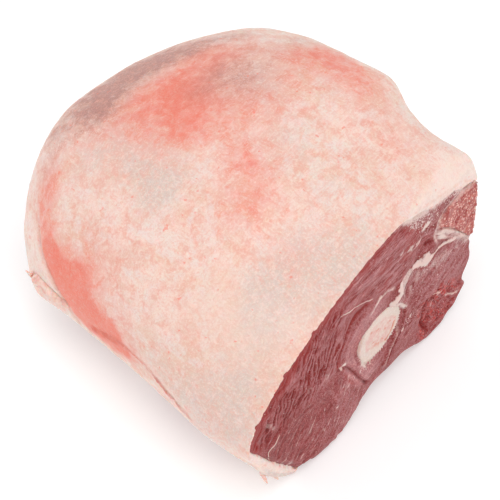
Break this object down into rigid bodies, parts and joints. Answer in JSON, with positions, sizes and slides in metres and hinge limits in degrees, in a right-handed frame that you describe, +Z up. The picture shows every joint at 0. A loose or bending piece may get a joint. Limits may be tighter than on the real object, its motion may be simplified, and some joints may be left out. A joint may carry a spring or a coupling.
{
  "type": "raw half leg of lamb",
  "caption": "Raw bone-in half leg of lamb with a full fat cover, one flat cut face showing lean meat, the round thigh bone and a corner of hip bone.",
  "frame": {"origin": "middle of the footprint on the floor that the leg lies on, z=0 at its flat underside", "axes": "+X out of the visible cut along the leg, +Y across the leg to its far side in the picture, +Z up"},
  "size_m": [0.1411, 0.1535, 0.1086],
  "materials": {
    "lean_meat": "raw lamb muscle, purple red, fine fibres, moist satin surface with pale seams",
    "fat": "raw lamb fat, cream with pink blushes and short pale streaks, soft moist sheen",
    "bone": "sawn pale pink bone, finely pitted, satin",
    "spongy_bone": "sawn spongy bone, granular red and pink, moist"
  },
  "bodies": {
    "root": {"lean": "lean_meat", "fat_cover": "fat", "femur": "bone", "hip_bone": "spongy_bone"}
  },
  "joints": []
}
